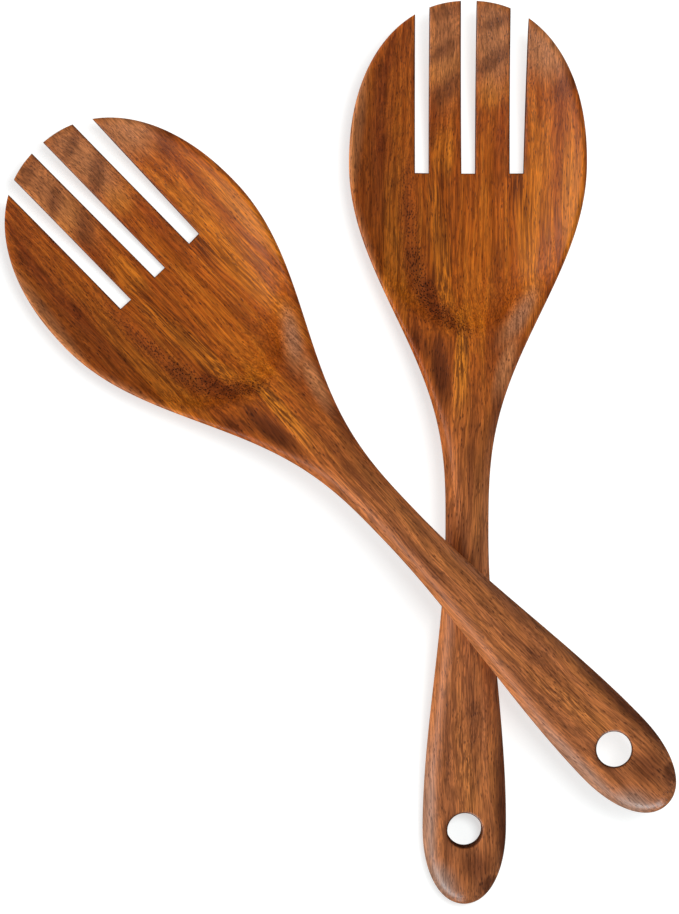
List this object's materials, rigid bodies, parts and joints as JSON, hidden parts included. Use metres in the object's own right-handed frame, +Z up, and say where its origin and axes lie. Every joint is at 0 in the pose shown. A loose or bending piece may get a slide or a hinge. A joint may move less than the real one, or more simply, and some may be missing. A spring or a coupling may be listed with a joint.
{
  "type": "pair of salad servers",
  "caption": "Pair of slotted wooden salad servers, one lying across the other's handle, each with a shallow slotted bowl and a hanging hole.",
  "frame": {"origin": "middle of the pair's box, on the surface that the pair lies on", "axes": "+Y along the lower server from its handle to its tines, +Z up from the surface, +X to the right of the lower server"},
  "size_m": [0.2262, 0.3049, 0.0378],
  "materials": {
    "oiled_wood_lower": "satin oiled",
    "oiled_wood_upper": "satin oiled"
  },
  "bodies": {
    "lower": {"lower_server": "oiled_wood_lower"},
    "upper": {"upper_server": "oiled_wood_upper"}
  },
  "joints": [
    {"name": "upper_server_lift", "type": "slide", "parent": "lower", "child": "upper", "axis": [0, 0, 1], "range_m": [0, 0.08]}
  ]
}
